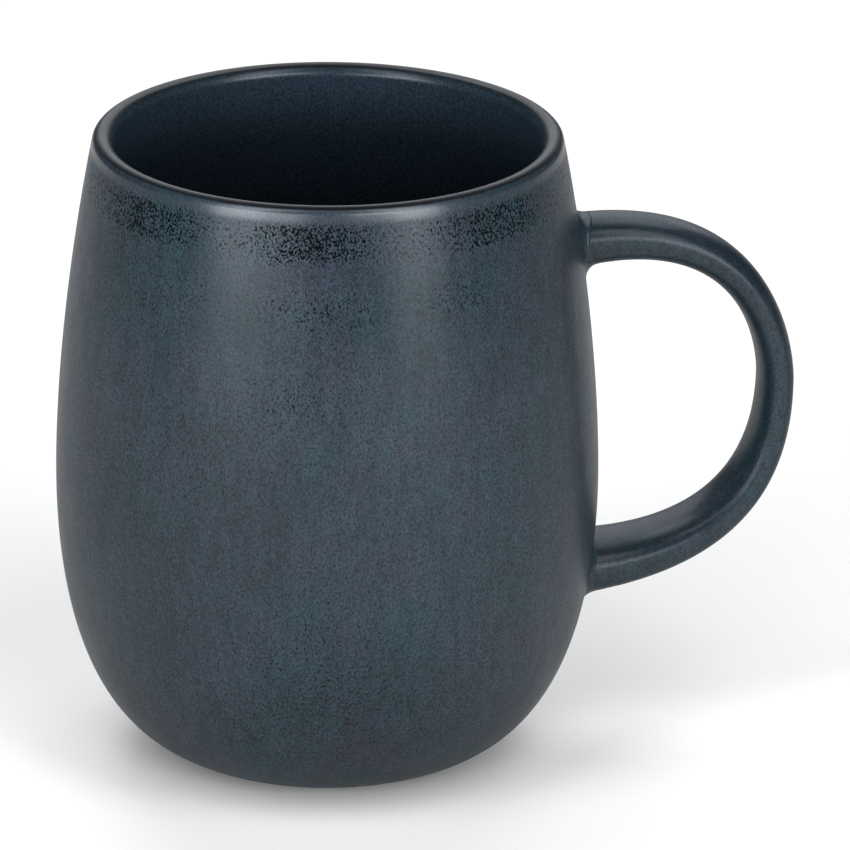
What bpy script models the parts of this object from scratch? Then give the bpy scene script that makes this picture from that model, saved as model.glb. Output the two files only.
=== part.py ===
"""A glazed stoneware mug: a round-bellied cup with a strap handle luted on with clay slip.

Units are metres and +Z is up. The origin is the middle of the mug's footprint, in the plane it stands
on, and the handle points along +X. The empty "cup_axis" marks the axis on which the cup is turned, and
everything is modelled about that axis.
"""

import math

import bmesh
import bpy
from mathutils import Vector

# Cup: radii from its axis, heights above the plane it stands on
CUP_HEIGHT = 0.1118
BELLY_RADIUS = 0.0470
BELLY_HEIGHT = 0.0502
SHOULDER_SWELL = 0.0120
SHOULDER_PULL = 0.0265
BASE_SWELL = 0.0239
BASE_PULL = 0.0190
BASE_SLOPE = math.radians(5)

# Lip: rounded inside and outside, on a wall that leans in
CREST_RADIUS = 0.03875
CREST_OUTER_ROUND = 0.0016
CREST_INNER_ROUND = 0.0020
RIM_LEAN = math.radians(11.2)

# Walls: even from the belly down, thinner towards the lip, over a level floor
BELLY_WALL = 0.0042
RIM_WALL = 0.0035
RIM_DEPTH = 0.0045
FLOOR_HEIGHT = 0.0058
FLOOR_RADIUS = 0.0190

# Foot: an unglazed ring around a shallow recess
FOOT_RADIUS = 0.0212
FOOT_WIDTH = 0.0040
FOOT_HEIGHT = 0.0008
FOOT_BEVEL = 0.0003
RECESS_DEPTH = 0.0021
RECESS_TAPER = 0.0010

# Handle: the line through the middle of the strap, in the XZ plane
UPPER_ROOT = (0.0420, 0.0899)
UPPER_RISE = math.radians(8.5)
UPPER_PULL = 0.0340
HANDLE_TURN = (0.0791, 0.0632)
TURN_PULL_UP = 0.0056
TURN_PULL_DOWN = 0.0256
LOWER_ROOT = (0.0450, 0.0306)
LOWER_RISE = math.radians(3.7)
LOWER_PULL = 0.0158
ROOT_DEPTH = 0.0060

# Strap section: at the upper root, halfway along, and at the lower root
STRAP_THICKNESS = (0.0088, 0.0060, 0.0097)
STRAP_WIDTH = (0.0121, 0.0117, 0.0167)
STRAP_SQUARENESS = 2.2

# Slip joints: a pad of slip behind each root and a hollow fillet around it
PIECE_GAP = 0.0003
SLIP_PAD = 0.0008
SLIP_EDGE = 0.0009
UPPER_FILLET = 0.0017
LOWER_FILLET = 0.0021

# Fineness of the mesh
CUP_STEPS = 64
SHOULDER_POINTS = 9
BASE_POINTS = 11
STRAP_POINTS = 15
STRAP_SIDES = 20
SLIP_SIDES = 24
SLIP_LEVELS = 5
WALL_SAMPLES = 60

FOOTPRINT_REACH = HANDLE_TURN[0] + STRAP_THICKNESS[1] / 2
CUP_AXIS_X = (BELLY_RADIUS - FOOTPRINT_REACH) / 2


def clear_scene():
    for obj in list(bpy.data.objects):
        bpy.data.objects.remove(obj, do_unlink=True)


def new_collection(name):
    collection = bpy.data.collections.new(name)
    bpy.context.scene.collection.children.link(collection)
    return collection


def new_material(name, colour, roughness):
    material = bpy.data.materials.new(name)
    material.use_nodes = True
    shader = material.node_tree.nodes["Principled BSDF"]
    shader.inputs["Base Color"].default_value = (*colour, 1.0)
    shader.inputs["Roughness"].default_value = roughness
    shader.inputs["Metallic"].default_value = 0.0
    material.diffuse_color = (*colour, 1.0)
    return material


def new_object(name, mesh, collection, parent, material=None):
    """An object about the cup's axis. With no material it is a cutter, which isn't rendered."""
    obj = bpy.data.objects.new(name, mesh)
    collection.objects.link(obj)
    obj.parent = parent
    if material:
        mesh.materials.append(material)
    else:
        obj.hide_render = True
        obj.display_type = "WIRE"
    return obj


def cut(obj, cutter):
    boolean = obj.modifiers.new("cut by " + cutter.name, "BOOLEAN")
    boolean.operation = "DIFFERENCE"
    boolean.solver = "EXACT"
    boolean.object = cutter


# Outlines: points (radius, height) of the cup's section


def bezier(start, pull_a, pull_b, end, count):
    """Points of a cubic curve between two ends, both included."""
    a, b, c, d = (Vector(p) for p in (start, pull_a, pull_b, end))
    points = []
    for i in range(count + 1):
        t = i / count
        s = 1 - t
        points.append(a * s**3 + b * 3 * s * s * t + c * 3 * s * t * t + d * t**3)
    return points


def arc(centre, radius, start, end, count):
    """Points of an arc between two angles, both included."""
    angles = [start + (end - start) * i / count for i in range(count + 1)]
    return [Vector(centre) + radius * Vector((math.cos(a), math.sin(a))) for a in angles]


def joined(*runs):
    """One outline from several runs, with a point that two runs share kept once."""
    points = list(runs[0])
    for run in runs[1:]:
        shared = (run[0] - points[-1]).length < 1e-6
        points.extend(run[1:] if shared else run)
    return points


def lip_outline():
    """The lip's two rounds, from the inner wall over the crest to the shoulder."""
    inner_centre = (CREST_RADIUS, CUP_HEIGHT - CREST_INNER_ROUND)
    outer_centre = (CREST_RADIUS, CUP_HEIGHT - CREST_OUTER_ROUND)
    inner = arc(inner_centre, CREST_INNER_ROUND, math.pi + RIM_LEAN, math.pi / 2, 4)
    outer = arc(outer_centre, CREST_OUTER_ROUND, math.pi / 2, RIM_LEAN, 4)
    return joined(inner, outer)


def outer_wall(shoulder_count, base_count):
    """The outer wall's outline, from the lip's round down to the top of the foot."""
    lip = lip_outline()[-1]
    downward = Vector((math.sin(RIM_LEAN), -math.cos(RIM_LEAN)))
    belly = Vector((BELLY_RADIUS, BELLY_HEIGHT))
    above = belly + Vector((0, SHOULDER_SWELL))
    below = belly - Vector((0, BASE_SWELL))
    foot = Vector((FOOT_RADIUS + FOOT_HEIGHT, FOOT_HEIGHT))
    under = foot + BASE_PULL * Vector((math.cos(BASE_SLOPE), math.sin(BASE_SLOPE)))
    shoulder = bezier(lip, lip + SHOULDER_PULL * downward, above, belly, shoulder_count)
    base = bezier(belly, below, under, foot, base_count)
    return joined(shoulder, base)


def with_normals(outline):
    """The inner points of an outline that runs down at +X, each with its outward normal."""
    pairs = []
    for before, here, after in zip(outline, outline[1:], outline[2:]):
        along = (after - before).normalized()
        pairs.append((here, Vector((-along.y, along.x))))
    return pairs


def wall_at(height):
    """The wall's thickness where its outside is at a height."""
    rise = max(0.0, (height - BELLY_HEIGHT) / (CUP_HEIGHT - BELLY_HEIGHT))
    return BELLY_WALL + (RIM_WALL - BELLY_WALL) * rise**2


def inner_wall():
    """The inner wall's outline, from the middle of the floor up to just under the lip."""
    wall = []
    for spot, normal in with_normals(outer_wall(SHOULDER_POINTS, BASE_POINTS)):
        inner = spot - wall_at(spot.y) * normal
        if FLOOR_HEIGHT < inner.y < CUP_HEIGHT - RIM_DEPTH:
            wall.append(inner)
    floor = [Vector((0, FLOOR_HEIGHT)), Vector((FLOOR_RADIUS, FLOOR_HEIGHT))]
    return [*floor, *reversed(wall)]


def foot_outline():
    """The foot ring and its recess, from the outside to the middle of the underside."""
    inner_radius = FOOT_RADIUS - FOOT_WIDTH
    return [
        Vector((FOOT_RADIUS + FOOT_BEVEL, FOOT_HEIGHT - FOOT_BEVEL)),
        Vector((FOOT_RADIUS, FOOT_BEVEL)),
        Vector((FOOT_RADIUS - FOOT_BEVEL, 0)),
        Vector((inner_radius + FOOT_BEVEL, 0)),
        Vector((inner_radius, FOOT_BEVEL)),
        Vector((inner_radius - RECESS_TAPER, RECESS_DEPTH)),
        Vector((0, RECESS_DEPTH)),
    ]


def turned(name, outline, collection, parent, material=None):
    """A solid turned about the cup's axis from an outline that runs down its outer side."""
    mesh = bpy.data.meshes.new(name)
    edges = [(i, i + 1) for i in range(len(outline) - 1)]
    mesh.from_pydata([(p.x, 0, p.y) for p in outline], edges, [])
    obj = new_object(name, mesh, collection, parent, material)
    screw = obj.modifiers.new("turn", "SCREW")
    screw.axis = "Z"
    screw.steps = CUP_STEPS
    screw.render_steps = CUP_STEPS
    screw.use_merge_vertices = True
    screw.merge_threshold = 0.00001
    screw.use_smooth_shade = True
    return obj


def build_cup(collection, parent, material):
    wall = outer_wall(SHOULDER_POINTS, BASE_POINTS)
    outline = joined(inner_wall(), lip_outline(), wall, foot_outline())
    return turned("mug_body", outline, collection, parent, material)


def cup_envelope(name, standoff, collection, parent):
    """A turned solid as big as the cup's outside, grown by the standoff."""
    pairs = with_normals(outer_wall(SHOULDER_POINTS, BASE_POINTS))
    wall = [spot + standoff * normal for spot, normal in pairs]
    top = Vector((0, wall[0].y))
    bottom = Vector((0, wall[-1].y))
    return turned(name, [top, *wall, bottom], collection, parent)


# Strap: a section carried along a line in the XZ plane


def through_three(values, share):
    """A smooth value with the three given ones at the start, halfway and at the end."""
    first, middle, last = values
    return (
        first * (1 - share) * (1 - 2 * share)
        + middle * 4 * share * (1 - share)
        + last * share * (2 * share - 1)
    )


def strap_line():
    """Points along the middle of the strap, from root to root."""
    upper = Vector(UPPER_ROOT)
    turn = Vector(HANDLE_TURN)
    lower = Vector(LOWER_ROOT)
    leave = UPPER_PULL * Vector((math.cos(UPPER_RISE), math.sin(UPPER_RISE)))
    arrive = LOWER_PULL * Vector((math.cos(LOWER_RISE), math.sin(LOWER_RISE)))
    over = turn + Vector((0, TURN_PULL_UP))
    under = turn - Vector((0, TURN_PULL_DOWN))
    top = bezier(upper, upper + leave, over, turn, STRAP_POINTS)
    bottom = bezier(turn, under, lower + arrive, lower, STRAP_POINTS)
    return joined(top, bottom)


def strap_stations():
    """Along the strap: place, outward direction, thickness and width.

    The first and the last station lie inside the cup's wall, straight in from the roots.
    """
    line = strap_line()
    deep_upper = line[0] - ROOT_DEPTH * (line[1] - line[0]).normalized()
    deep_lower = line[-1] - ROOT_DEPTH * (line[-2] - line[-1]).normalized()
    line = [deep_upper, *line, deep_lower]
    lengths = [-ROOT_DEPTH]
    for before, after in zip(line, line[1:]):
        lengths.append(lengths[-1] + (after - before).length)
    whole = lengths[-2]
    stations = []
    for i, place in enumerate(line):
        along = (line[min(i + 1, len(line) - 1)] - line[max(i - 1, 0)]).normalized()
        outward = Vector((-along.y, along.x))
        share = min(max(lengths[i] / whole, 0.0), 1.0)
        thickness = through_three(STRAP_THICKNESS, share)
        width = through_three(STRAP_WIDTH, share)
        stations.append((place, outward, thickness, width))
    return stations


def strap_ring(station, sides, grow=0.0):
    """The strap's section at a station, as points and the directions out of the strap there."""
    place, outward, thickness, width = station
    power = 2 / STRAP_SQUARENESS
    ring = []
    for i in range(sides):
        angle = 2 * math.pi * i / sides
        across = math.copysign(abs(math.cos(angle)) ** power, math.cos(angle))
        aside = math.copysign(abs(math.sin(angle)) ** power, math.sin(angle))
        high = (thickness / 2 + grow) * across
        wide = (width / 2 + grow) * aside
        point = Vector((place.x + high * outward.x, wide, place.y + high * outward.y))
        out = Vector((across * outward.x, aside, across * outward.y)).normalized()
        ring.append((point, out))
    return ring


def loft(name, rings, collection, parent, material=None):
    """A closed solid through rings that have the same number of points."""
    shape = bmesh.new()
    sides = len(rings[0])
    rows = [[shape.verts.new(point) for point in ring] for ring in rings]
    for row, following in zip(rows, rows[1:]):
        for i in range(sides):
            j = (i + 1) % sides
            shape.faces.new((row[i], row[j], following[j], following[i]))
    shape.faces.new(rows[0])
    shape.faces.new(rows[-1])
    bmesh.ops.recalc_face_normals(shape, faces=shape.faces)
    mesh = bpy.data.meshes.new(name)
    shape.to_mesh(mesh)
    shape.free()
    mesh.shade_smooth()
    mesh.set_sharp_from_angle(angle=math.radians(50))
    return new_object(name, mesh, collection, parent, material)


def build_strap(name, collection, parent, material=None, grow=0.0):
    rings = []
    for station in strap_stations():
        rings.append([point for point, _ in strap_ring(station, STRAP_SIDES, grow)])
    return loft(name, rings, collection, parent, material)


# Slip joints


def wall_gap(point, wall):
    """How far a point stands off the cup's outer wall, less than zero inside it."""
    flat = Vector((math.hypot(point.x, point.y), point.z))
    spot, normal = min(wall, key=lambda pair: (flat - pair[0]).length)
    return (flat - spot).dot(normal)


def strap_rails(stations):
    """The strap's long lines from a root outwards: each point, its gap from the wall, the way out."""
    wall = with_normals(outer_wall(WALL_SAMPLES, WALL_SAMPLES))
    sections = [strap_ring(station, SLIP_SIDES) for station in stations]
    rails = []
    for i in range(SLIP_SIDES):
        places = [section[i] for section in sections]
        rails.append([(point, wall_gap(point, wall), out) for point, out in places])
    return rails


def at_gap(rail, gap):
    """Where a rail stands off the wall by a gap, and the way out of the strap there."""
    for (near, near_gap, near_out), (far, far_gap, far_out) in zip(rail, rail[1:]):
        if near_gap <= gap < far_gap:
            share = (gap - near_gap) / (far_gap - near_gap)
            return near.lerp(far, share), near_out.lerp(far_out, share).normalized()
    raise ValueError("the root doesn't run from inside the wall to that gap")


def build_slip(name, stations, fillet, collection, parent, material):
    """The slip around one root: it hugs the strap and flares out to the wall in a hollow curve."""
    rails = strap_rails(stations)
    reach = PIECE_GAP + fillet
    gaps = [-fillet]
    gaps += [reach * (level / SLIP_LEVELS) ** 1.5 for level in range(SLIP_LEVELS + 1)]
    rings = []
    for gap in gaps:
        to_edge = min(reach - gap, fillet)
        flare = SLIP_EDGE + fillet - math.sqrt(fillet**2 - to_edge**2)
        places = [at_gap(rail, gap) for rail in rails]
        rings.append([point + flare * out for point, out in places])
    return loft(name, rings, collection, parent, material)


def build():
    clear_scene()
    mug = new_collection("ceramic_mug")
    cutters = new_collection("cutters")
    axis = bpy.data.objects.new("cup_axis", None)
    axis.location = (CUP_AXIS_X, 0, 0)
    mug.objects.link(axis)

    body_glaze = new_material("body_glaze", (0.058, 0.080, 0.098), 0.42)
    handle_glaze = new_material("handle_glaze", (0.062, 0.084, 0.102), 0.40)
    joint_glaze = new_material("joint_glaze", (0.050, 0.068, 0.084), 0.45)

    slip_clearance = cup_envelope("slip_clearance", PIECE_GAP, cutters, axis)
    pad_face = cup_envelope("pad_face", PIECE_GAP + SLIP_PAD, cutters, axis)
    root_face = cup_envelope("root_face", 2 * PIECE_GAP + SLIP_PAD, cutters, axis)
    strap_clearance = build_strap("strap_clearance", cutters, axis, grow=PIECE_GAP)
    cut(strap_clearance, pad_face)

    build_cup(mug, axis, body_glaze)
    handle = build_strap("handle", mug, axis, handle_glaze)
    cut(handle, root_face)

    upper_half = strap_stations()[:STRAP_POINTS]
    lower_half = strap_stations()[:-STRAP_POINTS:-1]
    for name, stations, fillet in (
        ("upper_handle_joint", upper_half, UPPER_FILLET),
        ("lower_handle_joint", lower_half, LOWER_FILLET),
    ):
        slip = build_slip(name, stations, fillet, mug, axis, joint_glaze)
        cut(slip, slip_clearance)
        cut(slip, strap_clearance)


build()
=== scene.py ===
"""Looks of the glazed stoneware mug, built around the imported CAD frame. Units are metres, +Z is up."""

import math

import bpy
from mathutils import Matrix, Vector, noise


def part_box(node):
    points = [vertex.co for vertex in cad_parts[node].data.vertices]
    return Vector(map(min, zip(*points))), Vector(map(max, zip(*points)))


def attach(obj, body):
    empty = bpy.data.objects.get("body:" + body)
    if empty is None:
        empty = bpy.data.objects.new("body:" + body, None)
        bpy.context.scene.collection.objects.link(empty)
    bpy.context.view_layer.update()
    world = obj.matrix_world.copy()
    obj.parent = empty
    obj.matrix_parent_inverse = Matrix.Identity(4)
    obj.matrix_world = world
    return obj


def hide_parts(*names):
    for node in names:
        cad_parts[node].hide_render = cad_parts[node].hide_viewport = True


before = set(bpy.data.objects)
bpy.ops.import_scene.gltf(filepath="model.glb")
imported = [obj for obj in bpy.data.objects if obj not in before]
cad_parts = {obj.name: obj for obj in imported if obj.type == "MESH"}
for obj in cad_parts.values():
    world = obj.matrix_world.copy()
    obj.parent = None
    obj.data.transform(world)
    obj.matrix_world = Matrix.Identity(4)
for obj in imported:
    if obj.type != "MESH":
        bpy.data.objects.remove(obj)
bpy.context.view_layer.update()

# Cup, measured on the frame
CUP_LOW, CUP_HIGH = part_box("mug_body")
AXIS_X = (CUP_LOW[0] + CUP_HIGH[0]) / 2
CUP_HEIGHT = CUP_HIGH[2]
BELLY_RADIUS = (CUP_HIGH[1] - CUP_LOW[1]) / 2

# Cup's outline, as the CAD has it
BELLY_HEIGHT = 0.0502
SHOULDER_SWELL = 0.0120
SHOULDER_PULL = 0.0265
BASE_SWELL = 0.0239
BASE_PULL = 0.0190
BASE_SLOPE = math.radians(5)
CREST_RADIUS = 0.03875
CREST_OUTER_ROUND = 0.0016
CREST_INNER_ROUND = 0.0020
RIM_LEAN = math.radians(11.2)
BELLY_WALL = 0.0042
RIM_WALL = 0.0035
RIM_DEPTH = 0.0035
FLOOR_HEIGHT = 0.0058
FLOOR_SOFTNESS = 0.0006
FLOOR_SHARES = (0.0, 0.25, 0.5, 0.75, 0.9)
LARGEST_EXPONENT = 50.0

# Foot: the glaze stops short of a bare ring of clay around a glazed recess
FOOT_RADIUS = 0.0212
FOOT_WIDTH = 0.0040
FOOT_HEIGHT = 0.0008
FOOT_ROUND = 0.0004
RECESS_DEPTH = 0.0021
RECESS_TAPER = 0.0010
RECESS_ROUND = 0.0002
GLAZE_STEP = 0.00025

# Strap, measured on the frame where it turns
_, STRAP_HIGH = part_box("handle")
STRAP_THICKNESS = (0.0088, 0.0060, 0.0097)
STRAP_WIDTH = (0.0121, 0.0117, 0.0167)
STRAP_SQUARENESS = 2.40
UPPER_ROOT = (0.0420, 0.0899)
UPPER_RISE = math.radians(8.5)
UPPER_PULL = 0.0340
TURN_INSET = 0.00305
HANDLE_TURN = (STRAP_HIGH[0] - AXIS_X - TURN_INSET, 0.0632)
TURN_PULL_UP = 0.0056
TURN_PULL_DOWN = 0.0256
LOWER_ROOT = (0.0450, 0.0306)
LOWER_RISE = math.radians(3.7)
LOWER_PULL = 0.0158
ROOT_DEPTH = 0.0060

# Slip fillets: how far each runs over the wall and along the strap, in turn on the strap's outer face,
# on its sides and on its inner face
UPPER_FILLET = ((0.0018, 0.0026), (0.0014, 0.0014), (0.0030, 0.0030))
LOWER_FILLET = ((0.0030, 0.0030), (0.0012, 0.0012), (0.0008, 0.0008))
FILLET_PULL = 0.40
FILLET_STEPS = 8
SLIP_SINK = 0.0004
SLIP_LIFT = 0.00001

# Dark crystals in the glaze: a band below the lip, thicker along some runs, and fainter patches.
# Bearings are in degrees from +X, and distances are down the outside from the lip's crest.
BAND_MIDDLE = 0.0070
BAND_HALF_HEIGHT = 0.0052
BAND_EVERYWHERE = 0.45
BAND_FULLNESS = 1.7
BAND_RUNS = (
    (-147, 34, 1.0),
    (-103, 30, 1.0),
    (-56, 34, 1.0),
    (70, 60, 0.9),
    (150, 40, 0.8),
)
PATCHES = (
    (-100, 26, 0.0185, 0.0075, 0.62),
    (-68, 22, 0.0180, 0.0080, 0.56),
    (-140, 30, 0.0200, 0.0110, 0.40),
    (-106, 24, 0.0340, 0.0090, 0.48),
    (-125, 40, 0.0420, 0.0200, 0.30),
    (-100, 34, 0.0860, 0.0300, 0.40),
    (60, 50, 0.0200, 0.0100, 0.40),
    (110, 40, 0.0450, 0.0250, 0.26),
)

# How far the cup is from true, and how slowly that changes around it
WOBBLE = 0.00008
WOBBLE_PACE = 1.1
WOBBLE_SEED = (3.0, 1.0, 7.0)

# Fineness of the meshes
CUP_STEPS = 288
WALL_POINTS = 70
STRAP_POINTS = 60
STRAP_SIDES = 72
ROOT_GAPS = (-0.0015, -0.0004, 0.0004, 0.0012, 0.0020, 0.0030)
PLANAR_GAP = 0.0036

# Camera: it looks down at the mug from the handle's near side
CAMERA_TURN = math.radians(10)
CAMERA_ELEVATION = math.radians(20.67)
CAMERA_DISTANCE = 1.300
CAMERA_ROLL = math.radians(0.415)
CAMERA_LENS = 318.2
SENSOR = 36.0
AIM_ASIDE = 0.01687
AIM_HEIGHT = 0.05855

# Studio: each softbox's bearing from the camera and elevation in degrees, width, height and radiance
SOFTBOX_DISTANCE = 1.3
SOFTBOXES = {
    "left_softbox": (-42, 12, 0.50, 0.55, 7.6),
    "left_upper": (-42, 50, 0.45, 1.10, 4.8),
    "left_fill": (-22, 12, 0.50, 0.50, 4.4),
    "right_fill": (23, 20, 0.50, 0.50, 4.8),
    "right_softbox": (42, 12, 0.50, 0.55, 7.0),
    "right_upper": (44, 50, 0.45, 1.10, 4.8),
    "back_left": (-150, 56, 0.50, 0.50, 3.0),
    "back_right": (150, 56, 0.50, 0.50, 2.4),
    "backdrop": (180, 32, 1.20, 1.20, 2.0),
}
COOL_WHITE = (0.95, 1.0, 1.07)
FLOOR_SIZE = 12


def linear(red, green, blue):
    """A linear colour with full alpha from an sRGB one given as 0 to 255."""
    values = []
    for part in (red, green, blue):
        share = part / 255
        values.append(share / 12.92 if share <= 0.04045 else ((share + 0.055) / 1.055) ** 2.4)
    return (*values, 1.0)


# Outlines


def bezier(start, pull_a, pull_b, end, count):
    """Points of a cubic curve between two ends, both included."""
    a, b, c, d = (Vector(p) for p in (start, pull_a, pull_b, end))
    points = []
    for i in range(count + 1):
        t = i / count
        s = 1 - t
        points.append(a * s**3 + b * 3 * s * s * t + c * 3 * s * t * t + d * t**3)
    return points


def arc(centre, radius, start, end, count):
    """Points of an arc between two angles, both included."""
    angles = [start + (end - start) * i / count for i in range(count + 1)]
    return [Vector(centre) + radius * Vector((math.cos(a), math.sin(a))) for a in angles]


def joined(*runs):
    """One outline from several runs, with a point that two runs share kept once."""
    points = list(runs[0])
    for run in runs[1:]:
        shared = (run[0] - points[-1]).length < 1e-6
        points.extend(run[1:] if shared else run)
    return points


def lip_outline():
    """The lip's two rounds, from the inner wall over the crest to the shoulder."""
    inner_centre = (CREST_RADIUS, CUP_HEIGHT - CREST_INNER_ROUND)
    outer_centre = (CREST_RADIUS, CUP_HEIGHT - CREST_OUTER_ROUND)
    inner = arc(inner_centre, CREST_INNER_ROUND, math.pi + RIM_LEAN, math.pi / 2, 14)
    outer = arc(outer_centre, CREST_OUTER_ROUND, math.pi / 2, RIM_LEAN, 12)
    return joined(inner, outer)


def outer_wall():
    """The outer wall's outline, from the lip's round down to the top of the foot."""
    lip = lip_outline()[-1]
    downward = Vector((math.sin(RIM_LEAN), -math.cos(RIM_LEAN)))
    belly = Vector((BELLY_RADIUS, BELLY_HEIGHT))
    above = belly + Vector((0, SHOULDER_SWELL))
    below = belly - Vector((0, BASE_SWELL))
    foot = Vector((FOOT_RADIUS + FOOT_HEIGHT, FOOT_HEIGHT))
    under = foot + BASE_PULL * Vector((math.cos(BASE_SLOPE), math.sin(BASE_SLOPE)))
    shoulder = bezier(lip, lip + SHOULDER_PULL * downward, above, belly, WALL_POINTS)
    base = bezier(belly, below, under, foot, WALL_POINTS)
    return joined(shoulder, base)


def with_normals(outline):
    """The inner points of an outline that runs down at +X, each with its outward normal."""
    pairs = []
    for before, here, after in zip(outline, outline[1:], outline[2:]):
        along = (after - before).normalized()
        pairs.append((here, Vector((-along.y, along.x))))
    return pairs


WALL = with_normals(outer_wall())


def wall_at(height):
    """The wall's thickness where its outside is at a height."""
    rise = max(0.0, (height - BELLY_HEIGHT) / (CUP_HEIGHT - BELLY_HEIGHT))
    return BELLY_WALL + (RIM_WALL - BELLY_WALL) * rise**2


def settled(height):
    """A height on the inner wall, kept above the floor and turned softly into it."""
    above = (height - FLOOR_HEIGHT) / FLOOR_SOFTNESS
    return FLOOR_HEIGHT + FLOOR_SOFTNESS * math.log1p(math.exp(min(above, LARGEST_EXPONENT)))


def inner_wall():
    """The inner wall's outline, from the middle of the floor up to just under the lip."""
    wall = []
    for spot, normal in WALL:
        inner = spot - wall_at(spot.y) * normal
        if inner.y < CUP_HEIGHT - RIM_DEPTH:
            wall.append(Vector((inner.x, settled(inner.y))))
    edge = wall[-1]
    floor = []
    for share in FLOOR_SHARES:
        height = FLOOR_HEIGHT + (edge.y - FLOOR_HEIGHT) * share**3
        floor.append(Vector((edge.x * share, height)))
    return [*floor, *reversed(wall)]


def foot_outline():
    """From the glaze's lower edge around the bare ring's seat and the recess to the middle."""
    inner_radius = FOOT_RADIUS - FOOT_WIDTH
    edge = Vector((FOOT_RADIUS + FOOT_HEIGHT, FOOT_HEIGHT))
    return [
        edge + Vector((-0.5 * GLAZE_STEP, -0.7 * GLAZE_STEP)),
        edge + Vector((-1.6 * GLAZE_STEP, -0.2 * GLAZE_STEP)),
        Vector((FOOT_RADIUS - FOOT_ROUND, FOOT_HEIGHT)),
        Vector((inner_radius + FOOT_ROUND, FOOT_HEIGHT)),
        Vector((inner_radius - 0.5 * RECESS_TAPER, FOOT_HEIGHT)),
        Vector((inner_radius - 0.9 * RECESS_TAPER, RECESS_DEPTH - RECESS_ROUND)),
        Vector((inner_radius - 1.5 * RECESS_TAPER, RECESS_DEPTH)),
        Vector((0.5 * inner_radius, RECESS_DEPTH)),
        Vector((0, RECESS_DEPTH)),
    ]


def ring_outline():
    """The bare clay ring's section, a closed loop with rounded lower corners, standing at height 0."""
    inner_radius = FOOT_RADIUS - FOOT_WIDTH
    outer_round = arc((FOOT_RADIUS - FOOT_ROUND, FOOT_ROUND), FOOT_ROUND, 0, -math.pi / 2, 5)
    inner_round = arc((inner_radius + FOOT_ROUND, FOOT_ROUND), FOOT_ROUND, -math.pi / 2, -math.pi, 5)
    top = FOOT_HEIGHT + SLIP_SINK
    outer_top = Vector((FOOT_RADIUS + 0.5 * FOOT_ROUND, top))
    inner_top = Vector((inner_radius - 0.5 * FOOT_ROUND, top))
    return [outer_top, *outer_round, *inner_round, inner_top]


# Meshes


def finished(name, verts, faces, materials, values=None):
    """A smooth object about the cup's axis, with the values stored on its points by name."""
    mesh = bpy.data.meshes.new(name)
    mesh.from_pydata(verts, [], faces)
    mesh.shade_smooth()
    for label, numbers in (values or {}).items():
        attribute = mesh.attributes.new(label, "FLOAT", "POINT")
        attribute.data.foreach_set("value", numbers)
    for material in materials:
        mesh.materials.append(material)
    obj = bpy.data.objects.new(name, mesh)
    obj.location = (AXIS_X, 0, 0)
    bpy.context.scene.collection.objects.link(obj)
    return obj


def from_crest(outline):
    """How far each point is from the lip's crest along the outline: below zero inside the cup."""
    crest = max(range(len(outline)), key=lambda i: outline[i].y)
    lengths = [0.0]
    for before, after in zip(outline, outline[1:]):
        lengths.append(lengths[-1] + (after - before).length)
    return [length - lengths[crest] for length in lengths]


def bump_between(value, centre, half_width):
    """One at the centre, falling smoothly to nothing at half_width away."""
    share = min(abs(value - centre) / half_width, 1.0)
    return (1 - share**2) ** 2


def turn_between(angle, bearing):
    """The angle in degrees from a bearing to an angle, the short way round."""
    return (math.degrees(angle) - bearing + 180) % 360 - 180


def crystals(angle, drop):
    """How thickly the glaze is crystallised dark at a place on the outside, from 0 to 1."""
    thickness = BAND_EVERYWHERE
    for bearing, half_width, strength in BAND_RUNS:
        thickness = max(thickness, strength * bump_between(turn_between(angle, bearing), 0, half_width))
    thickness *= min(1.0, BAND_FULLNESS * bump_between(drop, BAND_MIDDLE, BAND_HALF_HEIGHT))
    for bearing, half_width, middle, half_height, strength in PATCHES:
        across = bump_between(turn_between(angle, bearing), 0, half_width)
        thickness = max(thickness, strength * across * bump_between(drop, middle, half_height))
    return thickness


def throwing_wobble(angle, height):
    """A cup is never quite true: a few hundredths of a millimetre, turning slowly with the height."""
    spot = Vector((math.cos(angle), math.sin(angle), height / BELLY_RADIUS))
    return WOBBLE * noise.noise(spot * WOBBLE_PACE + Vector(WOBBLE_SEED))


def turned(name, outline, material, closed_loop=False):
    """A surface turned about the cup's axis from an outline at +X that runs down its outer side."""
    verts = []
    faces = []
    drops = []
    dark = []
    rows = []
    for point, drop in zip(outline, from_crest(outline)):
        if point.x < 1e-7:
            rows.append([len(verts)] * CUP_STEPS)
            verts.append((0, 0, point.y))
            drops.append(drop)
            dark.append(0.0)
            continue
        row = []
        for i in range(CUP_STEPS):
            angle = 2 * math.pi * i / CUP_STEPS
            radius = point.x + throwing_wobble(angle, point.y)
            row.append(len(verts))
            verts.append((radius * math.cos(angle), radius * math.sin(angle), point.y))
            drops.append(drop)
            dark.append(crystals(angle, drop))
        rows.append(row)
    following = rows[1:] + rows[:1] if closed_loop else rows[1:]
    for row, below in zip(rows, following):
        for i in range(CUP_STEPS):
            j = (i + 1) % CUP_STEPS
            corners = [row[i], below[i], below[j], row[j]]
            faces.append(list(dict.fromkeys(corners)))
    return finished(name, verts, faces, [material], {"from_crest": drops, "crystals": dark})


# Strap


def through_three(values, share):
    """A smooth value with the three given ones at the start, halfway and at the end."""
    first, middle, last = values
    return (
        first * (1 - share) * (1 - 2 * share)
        + middle * 4 * share * (1 - share)
        + last * share * (2 * share - 1)
    )


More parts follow.
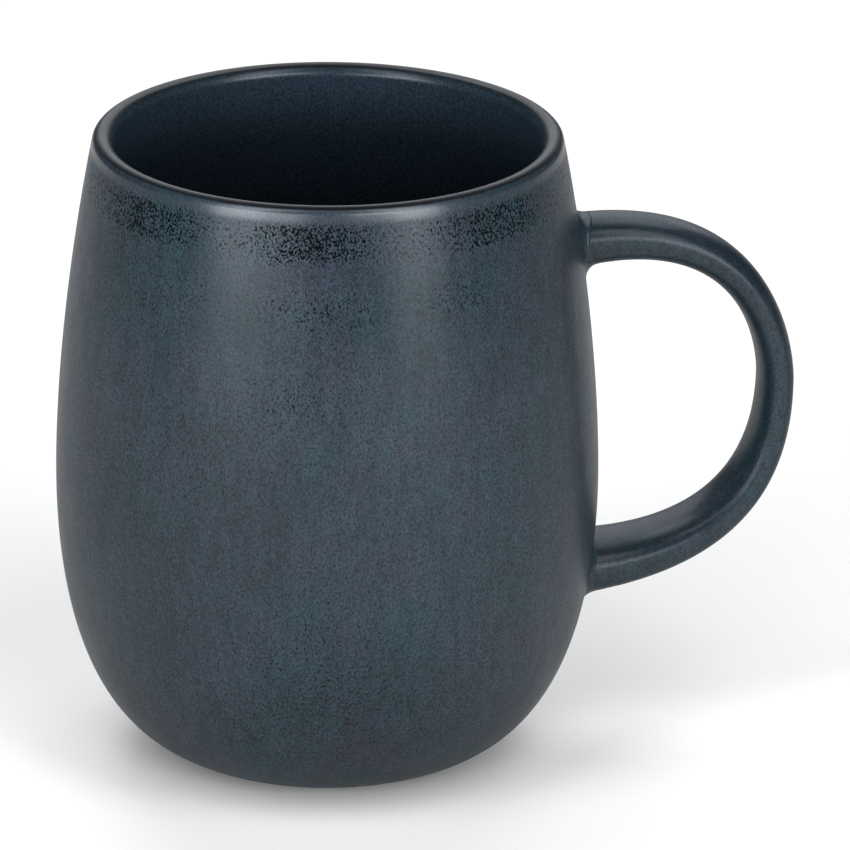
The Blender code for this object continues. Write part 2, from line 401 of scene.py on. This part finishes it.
def strap_line():
    """Points along the middle of the strap, from root to root."""
    upper = Vector(UPPER_ROOT)
    turn = Vector(HANDLE_TURN)
    lower = Vector(LOWER_ROOT)
    leave = UPPER_PULL * Vector((math.cos(UPPER_RISE), math.sin(UPPER_RISE)))
    arrive = LOWER_PULL * Vector((math.cos(LOWER_RISE), math.sin(LOWER_RISE)))
    over = turn + Vector((0, TURN_PULL_UP))
    under = turn - Vector((0, TURN_PULL_DOWN))
    top = bezier(upper, upper + leave, over, turn, STRAP_POINTS)
    bottom = bezier(turn, under, lower + arrive, lower, STRAP_POINTS)
    return joined(top, bottom)


def strap_sections():
    """The strap's rings of points, from inside the upper wall to inside the lower one.

    Each point comes with the direction out of the strap.
    """
    line = strap_line()
    deep_upper = line[0] - ROOT_DEPTH * (line[1] - line[0]).normalized()
    deep_lower = line[-1] - ROOT_DEPTH * (line[-2] - line[-1]).normalized()
    line = [deep_upper, *line, deep_lower]
    lengths = [-ROOT_DEPTH]
    for before, after in zip(line, line[1:]):
        lengths.append(lengths[-1] + (after - before).length)
    whole = lengths[-2]
    sections = []
    for i, place in enumerate(line):
        along = (line[min(i + 1, len(line) - 1)] - line[max(i - 1, 0)]).normalized()
        outward = Vector((-along.y, along.x))
        share = min(max(lengths[i] / whole, 0.0), 1.0)
        sections.append(strap_ring(place, outward, share))
    return sections


def strap_ring(place, outward, share):
    """One ring of the strap: point and way out."""
    half_high = through_three(STRAP_THICKNESS, share) / 2
    half_wide = through_three(STRAP_WIDTH, share) / 2
    power = 2 / STRAP_SQUARENESS
    ring = []
    for i in range(STRAP_SIDES):
        angle = 2 * math.pi * i / STRAP_SIDES
        across = math.copysign(abs(math.cos(angle)) ** power, math.cos(angle))
        aside = math.copysign(abs(math.sin(angle)) ** power, math.sin(angle))
        high = half_high * across
        wide = half_wide * aside
        point = Vector((place.x + high * outward.x, wide, place.y + high * outward.y))
        rise = across / half_high
        spread = aside / half_wide
        out = Vector((rise * outward.x, spread, rise * outward.y)).normalized()
        ring.append((point, out))
    return ring


def beside_wall(point):
    """A point's gap from the cup's outer wall, less than zero inside it, and the wall's way out there."""
    flat = Vector((math.hypot(point.x, point.y), point.z))
    spot, normal = min(WALL, key=lambda pair: (flat - pair[0]).length_squared)
    around = Vector((point.x, point.y, 0)).normalized()
    return (flat - spot).dot(normal), normal.x * around + Vector((0, 0, normal.y))


def wall_gap(point):
    """A point's gap from the cup's outer wall alone."""
    return beside_wall(point)[0]


def rails_from(sections):
    """The strap's long lines from a root outwards: (point, gap from the wall, way out)."""
    rails = []
    for i in range(STRAP_SIDES):
        places = [section[i] for section in sections]
        rails.append([(p, wall_gap(p), out) for p, out in places])
    return rails


def at_gap(rail, gap):
    """Where a rail stands off the wall by a gap: point and way out."""
    for near, far in zip(rail, rail[1:]):
        if near[1] <= gap < far[1]:
            share = (gap - near[1]) / (far[1] - near[1])
            return near[0].lerp(far[0], share), near[2].lerp(far[2], share).normalized()
    raise ValueError("the root doesn't run from inside the wall to that gap")


def build_strap(sections, upper_rails, lower_rails, material):
    """The strap, with ends that follow the wall just under its surface."""
    rings = [[at_gap(rail, gap) for rail in upper_rails] for gap in ROOT_GAPS]
    for section in sections:
        if min(wall_gap(place[0]) for place in section) > PLANAR_GAP:
            rings.append(section)
    rings += [[at_gap(rail, gap) for rail in lower_rails] for gap in reversed(ROOT_GAPS)]
    verts = [point for ring in rings for point, _ in ring]
    aside = [abs(out.y) for ring in rings for _, out in ring]
    faces = ring_faces(len(rings), STRAP_SIDES)
    last = STRAP_SIDES * (len(rings) - 1)
    faces.append(list(range(STRAP_SIDES)))
    faces.append([last + i for i in reversed(range(STRAP_SIDES))])
    return finished("strap", verts, faces, [material], {"aside": aside})


def ring_faces(rings, sides, closed_loop=False):
    """Quads between neighbouring rings, whose points are numbered ring by ring."""
    faces = []
    for k in range(rings if closed_loop else rings - 1):
        for i in range(sides):
            j = (i + 1) % sides
            here = k * sides
            following = (k + 1) % rings * sides
            faces.append([here + i, following + i, following + j, here + j])
    return faces


def fillet_size(fillet, angle):
    """The fillet's run over the wall and along the strap at an angle around the strap."""
    outer, side, inner = fillet
    facing = math.cos(angle)
    weights = (max(facing, 0.0) ** 2, 1 - facing**2, max(-facing, 0.0) ** 2)
    return tuple(sum(w * size[k] for w, size in zip(weights, (outer, side, inner))) for k in (0, 1))


def on_wall(point):
    """A point moved straight onto the cup's outer wall."""
    gap, way_out = beside_wall(point)
    return point - (gap - SLIP_LIFT) * way_out


def build_fillet(name, rails, fillet, material, at_lower_end):
    """The slip around one root: a closed ring, hollow outside and sunk in the clay inside.

    The rails run along the strap at its upper end and against it at its lower end, and that turns the
    faces over.
    """
    columns = []
    for i, rail in enumerate(rails):
        over, along = fillet_size(fillet, 2 * math.pi * i / STRAP_SIDES)
        root, out = at_gap(rail, 0.0)
        start = on_wall(root + over * out)
        start_pull = on_wall(root + FILLET_PULL * over * out)
        end_pull, end_out = at_gap(rail, FILLET_PULL * along)
        end, _ = at_gap(rail, along)
        curve = []
        for step in range(FILLET_STEPS + 1):
            t = step / FILLET_STEPS
            s = 1 - t
            point = start * s**3 + start_pull * 3 * s * s * t + end_pull * 3 * s * t * t
            curve.append(point + end * t**3 + SLIP_LIFT * end_out)
        sunk_end = end - SLIP_SINK * end_out
        sunk_root = at_gap(rail, -SLIP_SINK)[0] - SLIP_SINK * out
        sunk_start = on_wall(start) - SLIP_SINK * beside_wall(start)[1]
        columns.append([*curve, sunk_end, sunk_root, sunk_start])
    verts = [point for column in columns for point in column]
    faces = ring_faces(STRAP_SIDES, len(columns[0]), closed_loop=True)
    if not at_lower_end:
        faces = [face[::-1] for face in faces]
    return finished(name, verts, faces, [material])


# Materials


class Shading:
    """A material's node tree, with short calls for the nodes that these materials use."""

    def __init__(self, name):
        self.material = bpy.data.materials.new(name)
        self.material.use_nodes = True
        self.tree = self.material.node_tree
        self.shader = self.tree.nodes["Principled BSDF"]
        self.place = self.tree.nodes.new("ShaderNodeTexCoord").outputs["Object"]

    def set(self, socket, value):
        if isinstance(value, bpy.types.NodeSocket):
            self.tree.links.new(value, socket)
        else:
            socket.default_value = value

    def finish(self, name, value):
        """Gives the shader's own socket a value or a texture."""
        self.set(self.shader.inputs[name], value)

    def stored(self, name):
        node = self.tree.nodes.new("ShaderNodeAttribute")
        node.attribute_name = name
        return node.outputs["Fac"]

    def math(self, operation, first, second=0.0, third=0.0):
        node = self.tree.nodes.new("ShaderNodeMath")
        node.operation = operation
        for socket, value in zip(node.inputs, (first, second, third)):
            self.set(socket, value)
        return node.outputs[0]

    def noise(self, size, detail=2.0, roughness=0.5, seed=0.0, stretch=(1, 1, 1)):
        """Noise from 0 to 1 whose features are about as large as the size."""
        mapping = self.tree.nodes.new("ShaderNodeMapping")
        self.set(mapping.inputs["Vector"], self.place)
        mapping.inputs["Scale"].default_value = stretch
        node = self.tree.nodes.new("ShaderNodeTexNoise")
        node.noise_dimensions = "4D"
        self.set(node.inputs["Vector"], mapping.outputs[0])
        node.inputs["Scale"].default_value = 0.5 / size
        node.inputs["Detail"].default_value = detail
        node.inputs["Roughness"].default_value = roughness
        node.inputs["W"].default_value = seed
        return node.outputs["Fac"]

    def fade(self, value, low, high, at_low=0.0, at_high=1.0):
        """A smooth step of the value, from one number at low to another at high."""
        node = self.tree.nodes.new("ShaderNodeMapRange")
        node.interpolation_type = "SMOOTHSTEP"
        flip = low > high
        numbers = (high, low, at_high, at_low) if flip else (low, high, at_low, at_high)
        self.set(node.inputs["Value"], value)
        for socket, number in zip(("From Min", "From Max", "To Min", "To Max"), numbers):
            self.set(node.inputs[socket], number)
        return node.outputs[0]

    def between(self, value, low_edge, high_edge):
        """One between two soft edges, and nothing outside them."""
        return self.math("MULTIPLY", self.fade(value, *low_edge), self.fade(value, *high_edge))

    def blend(self, factor, first, second):
        """A mix of two colours."""
        node = self.tree.nodes.new("ShaderNodeMix")
        node.data_type = "RGBA"
        self.set(node.inputs[0], factor)
        self.set(node.inputs[6], first)
        self.set(node.inputs[7], second)
        return node.outputs[2]

    def scaled(self, colour, factor):
        """A colour made lighter or darker by a factor."""
        node = self.tree.nodes.new("ShaderNodeVectorMath")
        node.operation = "SCALE"
        self.set(node.inputs[0], colour)
        self.set(node.inputs["Scale"], factor)
        return node.outputs[0]

    def bump(self, height, depth, under=None):
        node = self.tree.nodes.new("ShaderNodeBump")
        node.inputs["Distance"].default_value = depth
        self.set(node.inputs["Height"], height)
        if under is not None:
            self.set(node.inputs["Normal"], under)
        return node.outputs[0]


SLATE = linear(34, 44, 51)
TEAL = linear(26, 45, 50)
MAUVE = linear(39, 42, 53)
BLUE_BLACK = linear(2, 5, 9)
GREEN_BLACK = linear(4, 8, 6)
LIP_GREY = linear(44, 53, 61)
# Near black. On the lip it is partly the glaze's own dark break and partly painted shade for a dark
# reflection. On the strap it is a painted shade band.
BREAK_AND_PAINTED_SHADE = linear(6, 4, 5)
INSIDE_DEEP = linear(15, 22, 28)
INSIDE_PALE = linear(27, 36, 43)

# Zones along the lip, by the distance from its crest, less than zero inside the cup. Each pair runs from
# where the zone isn't there to where it is full.
OUTSIDE_BEGINS = (0.0010, 0.0016)
LIP_BEGINS_BELOW = (0.0046, 0.0026)
INSIDE_BEGINS = (-0.0008, -0.0030)
# Painted light inside the cup: lighter towards the lip, darker deep down
INSIDE_PAINTED_LIGHT_NEAR_LIP = (-0.0160, -0.0020)
# The near-black line over the crest: partly the glaze breaking dark, partly painted shade for a dark
# reflection
BREAK_AND_SHADE_INNER_EDGE = (-0.0024, -0.0008)
BREAK_AND_SHADE_OUTER_EDGE = (0.0014, 0.0009)
CROWN_INNER_EDGE = (-0.0014, -0.0008)
CROWN_OUTER_EDGE = (0.0006, 0.0001)
GLEAM_LOWER_EDGE = (-0.0060, -0.0035)
GLEAM_UPPER_EDGE = (-0.0013, -0.0023)
# Painted shade: colour and shine fall off towards the foot
PAINTED_SHADE_TOWARDS_FOOT = (0.070, 0.108)

GRAIN_SIZE = 0.00016
GRAIN_STRETCH = (1, 1, 0.70)
GLASS_ROUGHNESS = 0.26
GLASS_INDEX = 2.0
GLASS_SHINE = 0.155
LIP_SHINE = 0.44
CROWN_SHINE = 0.19
INNER_LIP_SHINE = 0.22
BODY_SHINE = 0.05
BODY_ROUGHNESS = 0.46


def slate_glaze(shade, seed, teal_share, mauve_share, grit):
    """The glaze's own colour, clouded with teal and mauve and grained all over, and its grain."""
    teal = shade.fade(shade.noise(0.0075, 4, 0.70, seed + 5), 0.44, 0.62)
    colour = shade.blend(shade.math("MULTIPLY", teal, teal_share), SLATE, TEAL)
    mauve = shade.fade(shade.noise(0.0060, 4, 0.70, seed + 9), 0.46, 0.64)
    colour = shade.blend(shade.math("MULTIPLY", mauve, mauve_share), colour, MAUVE)
    cloud = shade.fade(shade.noise(0.016, 3, 0.6, seed + 13), 0.32, 0.70, 0.84, 1.08)
    streak = shade.fade(shade.noise(0.0009, 3, 0.6, seed + 17, (1, 1, 0.22)), 0.34, 0.68, 0.86, 1.14)
    grain = shade.noise(GRAIN_SIZE, 1.0, 0.5, seed + 2, GRAIN_STRETCH)
    tone = shade.fade(grain, 0.26, 0.74, 1 - 0.60 * grit, 1 + 0.76 * grit)
    worm = shade.noise(0.00042, 2, 0.5, seed + 19, (1, 1, 0.6))
    off_worm = shade.math("ABSOLUTE", shade.math("SUBTRACT", worm, 0.5))
    vein = shade.fade(off_worm, 0.0, 0.045, 1 - 0.30 * grit, 1 + 0.05 * grit)
    for part in (cloud, streak, tone, vein):
        colour = shade.scaled(colour, part)
    return colour, grain


def specks(shade, grain, amount):
    """Dark crystals where the grain is low, more of them and darker as the amount rises from 0 to 1."""
    edge = shade.math("MULTIPLY_ADD", amount, 0.27, 0.22)
    return shade.fade(shade.math("SUBTRACT", edge, grain), -0.070, 0.045)


def speck_colour(shade, seed):
    """Nearly black, here bluer and there greener."""
    greener = shade.fade(shade.noise(0.0045, 2, 0.5, seed + 31), 0.42, 0.58)
    return shade.blend(greener, BLUE_BLACK, GREEN_BLACK)


def glassy(shade, roughness, shine, seed):
    """The glassy top of a glaze: how strongly it shines, and how rough the body under it is."""
    shade.finish("Specular IOR Level", BODY_SHINE)
    shade.finish("Coat Weight", shine)
    shade.finish("Coat Roughness", GLASS_ROUGHNESS)
    shade.finish("Coat IOR", GLASS_INDEX)
    uneven = shade.fade(shade.noise(0.004, 3, 0.6, seed + 40), 0.3, 0.7, -0.03, 0.03)
    roughness = shade.math("ADD", uneven, roughness)
    shade.finish("Roughness", shade.math("ADD", roughness, BODY_ROUGHNESS))


def body_glaze():
    shade = Shading("body_glaze")
    crest = shade.stored("from_crest")
    colour, grain = slate_glaze(shade, 0.0, 0.75, 0.60, 0.82)

    ragged = shade.math("MULTIPLY_ADD", shade.noise(0.0022, 3, 0.65, 3.0), 0.9, 0.55)
    amount = shade.math("MULTIPLY", shade.stored("crystals"), ragged)
    dark = specks(shade, grain, amount)

    outside = shade.fade(crest, *OUTSIDE_BEGINS)
    lip = shade.math("MULTIPLY", outside, shade.fade(crest, *LIP_BEGINS_BELOW))
    colour = shade.blend(shade.math("MULTIPLY", lip, 0.35), colour, LIP_GREY)
    colour = shade.blend(shade.math("MULTIPLY", dark, outside), colour, speck_colour(shade, 0.0))
    inside = shade.fade(crest, *INSIDE_BEGINS)
    inner_colour = shade.blend(shade.fade(grain, 0.30, 0.70), INSIDE_DEEP, INSIDE_PALE)
    # Painted light: the inside colour is scaled up towards the lip and down deeper in the cup
    inner_colour = shade.scaled(inner_colour, shade.fade(crest, *INSIDE_PAINTED_LIGHT_NEAR_LIP, 0.88, 2.2))
    colour = shade.blend(inside, colour, inner_colour)
    # Painted shade: a near-black line over the crest, partly the glaze's own break and partly a painted
    # dark reflection
    crest_break_and_shade = shade.between(crest, BREAK_AND_SHADE_INNER_EDGE, BREAK_AND_SHADE_OUTER_EDGE)
    colour = shade.blend(shade.math("MULTIPLY", crest_break_and_shade, 0.9), colour, BREAK_AND_PAINTED_SHADE)
    # Painted shade: the colour and the shine are made darker towards the foot
    painted_foot_shade = shade.fade(crest, *PAINTED_SHADE_TOWARDS_FOOT, 1.0, 0.80)
    shade.finish("Base Color", shade.scaled(colour, painted_foot_shade))

    shine = shade.math("MULTIPLY", shade.fade(dark, 0.0, 1.0, GLASS_SHINE, 0.0), painted_foot_shade)
    shine = shade.math("MAXIMUM", shine, shade.math("MULTIPLY", lip, LIP_SHINE))
    within = shade.between(crest, GLEAM_LOWER_EDGE, GLEAM_UPPER_EDGE)
    shine = shade.math("MAXIMUM", shine, shade.math("MULTIPLY", within, INNER_LIP_SHINE))
    crown = shade.between(crest, CROWN_INNER_EDGE, CROWN_OUTER_EDGE)
    shine = shade.math("MULTIPLY", shine, shade.fade(crest_break_and_shade, 0.0, 1.0, 1.0, 0.15))
    shine = shade.math("ADD", shine, shade.math("MULTIPLY", crown, CROWN_SHINE))
    glassy(shade, shade.math("MULTIPLY", dark, 0.35), shine, 0.0)
    fine = shade.bump(grain, 0.00005)
    shade.finish("Normal", shade.bump(shade.noise(0.010, 2, 0.5, 50.0), 0.00020, fine))
    return shade.material


def strap_glaze(name, seed, teal_share):
    shade = Shading(name)
    colour, grain = slate_glaze(shade, seed, teal_share, 0.15, 0.60)
    patches = shade.fade(shade.noise(0.008, 3, 0.6, seed + 21), 0.50, 0.75, 0.0, 0.30)
    dark = specks(shade, grain, patches)
    colour = shade.blend(dark, colour, speck_colour(shade, seed))
    aside = shade.stored("aside")
    # Painted shade: a dark band where the strap's faces turn up and towards the front, standing in for a
    # dark reflection
    edge = shade.between(aside, (0.25, 0.55), (0.86, 0.72))
    colour = shade.blend(shade.math("MULTIPLY", edge, 0.20), colour, BREAK_AND_PAINTED_SHADE)
    shade.finish("Base Color", colour)
    shine = shade.fade(dark, 0.0, 1.0, GLASS_SHINE, 0.0)
    shine = shade.math("MULTIPLY", shine, shade.fade(edge, 0.0, 1.0, 1.0, 0.75))
    glassy(shade, shade.math("MULTIPLY", dark, 0.35), shine, seed)
    fine = shade.bump(grain, 0.00004)
    shade.finish("Normal", shade.bump(shade.noise(0.009, 2, 0.5, seed + 50), 0.00020, fine))
    return shade.material


def bare_clay():
    shade = Shading("bare_clay")
    sand = shade.noise(0.0012, 4, 0.65, 60.0)
    colour = shade.blend(shade.fade(sand, 0.35, 0.65), linear(150, 122, 96), linear(182, 156, 128))
    iron = shade.fade(shade.noise(0.0004, 2, 0.5, 63.0), 0.66, 0.72)
    colour = shade.blend(shade.math("MULTIPLY", iron, 0.8), colour, linear(70, 48, 34))
    shade.finish("Base Color", colour)
    shade.finish("Roughness", shade.fade(sand, 0.3, 0.7, 0.78, 0.92))
    shade.finish("Normal", shade.bump(sand, 0.00006))
    return shade.material


def pale_floor():
    shade = Shading("pale_floor")
    tone = shade.fade(shade.noise(0.15, 2, 0.5, 70.0), 0.2, 0.8)
    shade.finish("Base Color", shade.blend(tone, linear(250, 244, 237), linear(253, 247, 240)))
    shade.finish("Roughness", 0.8)
    return shade.material


# Pieces


def build_mug():
    glaze = body_glaze()
    outline = joined(inner_wall(), lip_outline(), outer_wall(), foot_outline())
    cup = turned("cup", outline, glaze)
    ring = turned("foot_ring", ring_outline(), bare_clay(), closed_loop=True)

    sections = strap_sections()
    upper_rails = rails_from(sections[:STRAP_POINTS])
    lower_rails = rails_from(sections[:-STRAP_POINTS:-1])
    strap = build_strap(sections, upper_rails, lower_rails, strap_glaze("handle_glaze", 100.0, 0.95))
    joint_glaze = strap_glaze("joint_glaze", 200.0, 0.45)
    upper = build_fillet("upper_slip", upper_rails, UPPER_FILLET, joint_glaze, at_lower_end=False)
    lower = build_fillet("lower_slip", lower_rails, LOWER_FILLET, joint_glaze, at_lower_end=True)

    for piece, node, slot in (
        (cup, "mug_body", "body_glaze"),
        (ring, "mug_body", "bare_clay"),
        (strap, "handle", "handle_glaze"),
        (upper, "upper_handle_joint", "joint_glaze"),
        (lower, "lower_handle_joint", "joint_glaze"),
    ):
        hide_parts(node)
        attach(piece, "root")


# Stage


def build_camera():
    camera = bpy.data.cameras.new("camera")
    camera.lens = CAMERA_LENS
    camera.sensor_width = SENSOR
    camera.clip_start = 0.1
    camera.clip_end = 20.0
    obj = bpy.data.objects.new("camera", camera)
    bpy.context.scene.collection.objects.link(obj)
    aside = Vector((math.cos(CAMERA_TURN), -math.sin(CAMERA_TURN), 0))
    ahead = Vector((math.sin(CAMERA_TURN), math.cos(CAMERA_TURN), 0))
    level = math.cos(CAMERA_ELEVATION)
    sight = level * ahead - Vector((0, 0, math.sin(CAMERA_ELEVATION)))
    aim = Vector((AXIS_X, 0, AIM_HEIGHT)) + AIM_ASIDE * aside
    above = aside.cross(sight)
    right = math.cos(CAMERA_ROLL) * aside + math.sin(CAMERA_ROLL) * above
    up = math.cos(CAMERA_ROLL) * above - math.sin(CAMERA_ROLL) * aside
    spot = aim - CAMERA_DISTANCE * sight
    obj.matrix_world = Matrix((right, up, -sight)).transposed().to_4x4()
    obj.location = spot
    bpy.context.scene.camera = obj


def softbox(name, turn, elevation, width, height, glow):
    """An area light aimed at the mug; turn is counted from the camera, and glow is its radiance."""
    light = bpy.data.lights.new(name, "AREA")
    light.shape = "RECTANGLE"
    light.size = width
    light.size_y = height
    light.energy = math.pi * width * height * glow
    light.color = COOL_WHITE
    obj = bpy.data.objects.new(name, light)
    bpy.context.scene.collection.objects.link(obj)
    bearing = CAMERA_TURN - math.radians(turn)
    tilt = math.radians(elevation)
    level = math.cos(tilt)
    way = Vector((-math.sin(bearing) * level, -math.cos(bearing) * level, math.sin(tilt)))
    obj.location = Vector((AXIS_X, 0, AIM_HEIGHT)) + SOFTBOX_DISTANCE * way
    obj.rotation_euler = way.to_track_quat("Z", "Y").to_euler()
    obj.visible_camera = False


def build_stage():
    bpy.ops.mesh.primitive_plane_add(size=FLOOR_SIZE)
    floor = bpy.context.object
    floor.name = "floor"
    floor.data.materials.append(pale_floor())

    for name, measures in SOFTBOXES.items():
        softbox(name, *measures)

    world = bpy.data.worlds.new("studio")
    bpy.context.scene.world = world
    world.use_nodes = True
    world.node_tree.nodes["Background"].inputs["Color"].default_value = (0.0, 0.0, 0.0, 1.0)
    bpy.context.scene.view_settings.view_transform = "Standard"


build_camera()
build_mug()
build_stage()
